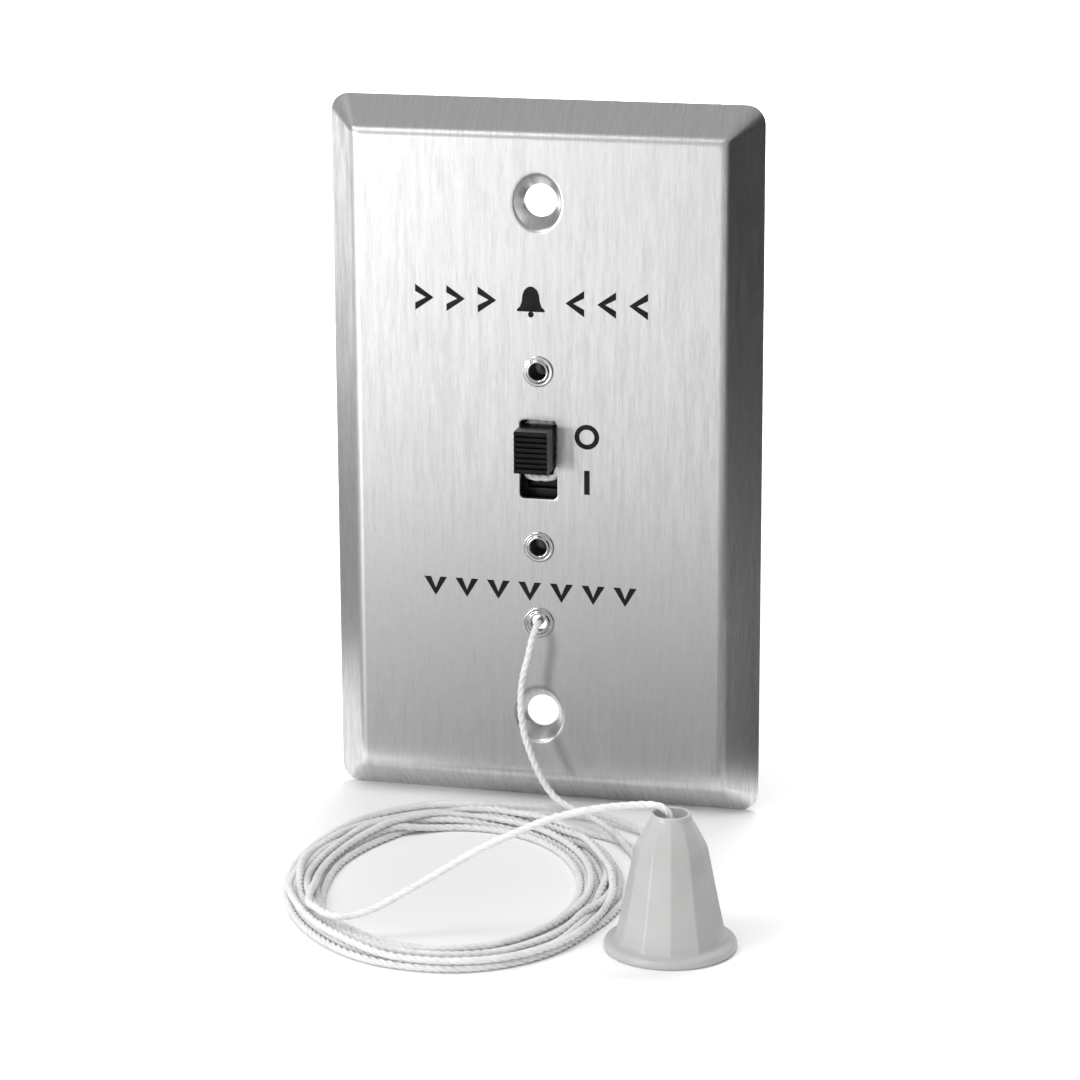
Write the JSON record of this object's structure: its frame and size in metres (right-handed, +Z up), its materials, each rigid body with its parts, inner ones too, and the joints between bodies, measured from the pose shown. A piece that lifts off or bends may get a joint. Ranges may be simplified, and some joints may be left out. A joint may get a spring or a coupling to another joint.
{
  "type": "pull cord switch",
  "caption": "Steel wall plate with a slide switch worked by a looped cord that runs out through an eyelet to an oblong hank and a bell-shaped pull.",
  "frame": {"origin": "on the wall plane, at the centre of the plate, midway between its two wall screw holes", "axes": "+X to the right as a person faces the plate, +Y into the wall, +Z up"},
  "size_m": [0.0783, 0.0959, 0.1142],
  "materials": {
    "plate_steel": "brushed along the height",
    "eyelet_steel": "rolled and bright",
    "spacer_fibre": "vulcanised fibre",
    "frame_steel": "black oxide",
    "board_phenolic": "paper phenolic",
    "terminal_brass": "tinned brass",
    "knob_black": "moulded, satin",
    "bridge_bronze": "phosphor bronze",
    "spring_steel": "drawn wire",
    "ball_steel": "polished",
    "cord_white": "twisted nylon",
    "bell_white": "moulded, satin gloss"
  },
  "bodies": {
    "plate": {"wall_plate": "plate_steel", "rivet_upper": "eyelet_steel", "rivet_lower": "eyelet_steel", "cord_eyelet": "eyelet_steel", "spacer_upper": "spacer_fibre", "spacer_lower": "spacer_fibre", "switch_frame": "frame_steel", "terminal_board": "board_phenolic", "terminal_common": "terminal_brass", "terminal_alarm": "terminal_brass", "terminal_idle": "terminal_brass", "cord_inner_run": "cord_white", "cord_drop": "cord_white", "cord_hank": "cord_white", "cord_tail": "cord_white", "end_knot": "cord_white"},
    "slide": {"slider_knob": "knob_black", "contact_bridge": "bridge_bronze", "contact_spring": "spring_steel", "detent_ball": "ball_steel", "detent_spring": "spring_steel", "cord_noose": "cord_white", "noose_knot": "cord_white"},
    "bell": {"pull_bell": "bell_white"}
  },
  "joints": [
    {"name": "switch_slide", "type": "slide", "parent": "plate", "child": "slide", "axis": [0, 0, -1], "range_m": [0, 0.0044], "deforming": ["cord_inner_run"]},
    {"name": "bell_spin", "type": "hinge", "parent": "plate", "child": "bell", "pos_m": [0.0337, -0.0618, -0.0436], "axis": [0, 0, 1], "continuous": true}
  ]
}
